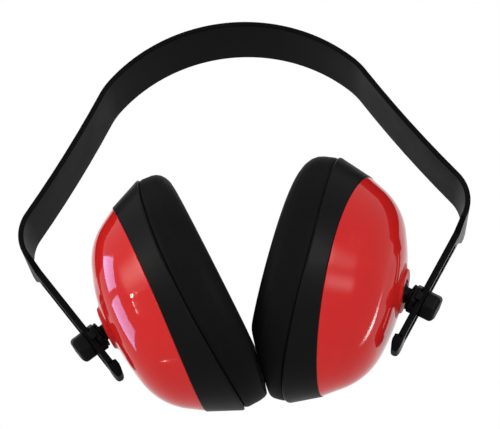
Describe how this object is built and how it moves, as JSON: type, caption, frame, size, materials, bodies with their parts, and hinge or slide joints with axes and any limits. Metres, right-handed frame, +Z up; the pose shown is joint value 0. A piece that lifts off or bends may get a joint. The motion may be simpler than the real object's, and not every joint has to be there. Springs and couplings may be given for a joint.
{
  "type": "earmuff hearing protector",
  "caption": "Earmuff hearing protector: a sprung plastic headband with slotted arms, and two red oval cups with padded cushions on ball pivots.",
  "frame": {"origin": "middle of the crown's inner face, where the band rests on the head", "axes": "+Z up, +X to the right cup, +Y to the back"},
  "size_m": [0.1976, 0.0973, 0.1805],
  "materials": {
    "band": "satin black, smooth moulded",
    "fitting": "matte black, moulded",
    "cup": "glossy red, moulded",
    "ring": "satin black, moulded",
    "inner": "plain dark grey, moulded",
    "screw": "plain steel",
    "foam": "open-cell dark foam",
    "cushion": "matte black soft vinyl"
  },
  "bodies": {
    "crown": {"headband_crown": "band"},
    "arm_left": {"headband_left": "band"},
    "slider_left": {"slide_collar_left": "fitting"},
    "stud_left": {"pivot_stud_left": "fitting"},
    "knob_left": {"knob_left": "fitting"},
    "liner_left": {"socket_liner_left": "inner"},
    "cup_left": {"cup_shell_left": "cup", "socket_retainer_left": "inner", "retainer_screws_left": "screw", "sound_foam_left": "foam", "seat_ring_left": "ring", "cushion_plate_left": "inner", "cushion_foam_left": "foam", "cushion_cover_left": "cushion"},
    "arm_right": {"headband_right": "band"},
    "slider_right": {"slide_collar_right": "fitting"},
    "stud_right": {"pivot_stud_right": "fitting"},
    "knob_right": {"knob_right": "fitting"},
    "liner_right": {"socket_liner_right": "inner"},
    "cup_right": {"cup_shell_right": "cup", "socket_retainer_right": "inner", "retainer_screws_right": "screw", "sound_foam_right": "foam", "seat_ring_right": "ring", "cushion_plate_right": "inner", "cushion_foam_right": "foam", "cushion_cover_right": "cushion"}
  },
  "joints": [
    {"name": "flex_left", "type": "hinge", "parent": "crown", "child": "arm_left", "pos_m": [-0.03275, 0, -0.00636], "axis": [0, 1, 0], "range_deg": [0, 24], "stiffness_Nm_per_rad": 3.4},
    {"name": "slide_left", "type": "slide", "parent": "arm_left", "child": "slider_left", "axis": [-0.5519, 0, 0.8339], "range_m": [0, 0.024]},
    {"name": "swivel_left", "type": "hinge", "parent": "slider_left", "child": "stud_left", "pos_m": [-0.05975, 0, -0.13417], "axis": [0.8339, 0, 0.5519], "range_deg": [-2.5, 7]},
    {"name": "knob_turn_left", "type": "hinge", "parent": "stud_left", "child": "knob_left", "pos_m": [-0.07442, 0, -0.14389], "axis": [-0.8339, 0, -0.5519], "continuous": true},
    {"name": "tilt_left", "type": "hinge", "parent": "stud_left", "child": "liner_left", "pos_m": [-0.05975, 0, -0.13417], "axis": [0, 1, 0], "range_deg": [0, 4.5]},
    {"name": "turn_left", "type": "hinge", "parent": "liner_left", "child": "cup_left", "pos_m": [-0.05975, 0, -0.13417], "axis": [-0.3256, 0, 0.9455], "range_deg": [0, 9]},
    {"name": "flex_right", "type": "hinge", "parent": "crown", "child": "arm_right", "pos_m": [0.03275, 0, -0.00636], "axis": [0, -1, 0], "range_deg": [0, 24], "stiffness_Nm_per_rad": 3.4},
    {"name": "slide_right", "type": "slide", "parent": "arm_right", "child": "slider_right", "axis": [0.5519, 0, 0.8339], "range_m": [0, 0.0195]},
    {"name": "swivel_right", "type": "hinge", "parent": "slider_right", "child": "stud_right", "pos_m": [0.06251, 0, -0.13], "axis": [-0.8339, 0, 0.5519], "range_deg": [-2.5, 7]},
    {"name": "knob_turn_right", "type": "hinge", "parent": "stud_right", "child": "knob_right", "pos_m": [0.07718, 0, -0.13972], "axis": [0.8339, 0, -0.5519], "continuous": true},
    {"name": "tilt_right", "type": "hinge", "parent": "stud_right", "child": "liner_right", "pos_m": [0.06251, 0, -0.13], "axis": [0, -1, 0], "range_deg": [0, 4.5]},
    {"name": "turn_right", "type": "hinge", "parent": "liner_right", "child": "cup_right", "pos_m": [0.06251, 0, -0.13], "axis": [0.3256, 0, 0.9455], "range_deg": [0, 9]}
  ],
  "couplings": [
    {"joint": "flex_right", "follows": "flex_left", "ratio": 1}
  ]
}
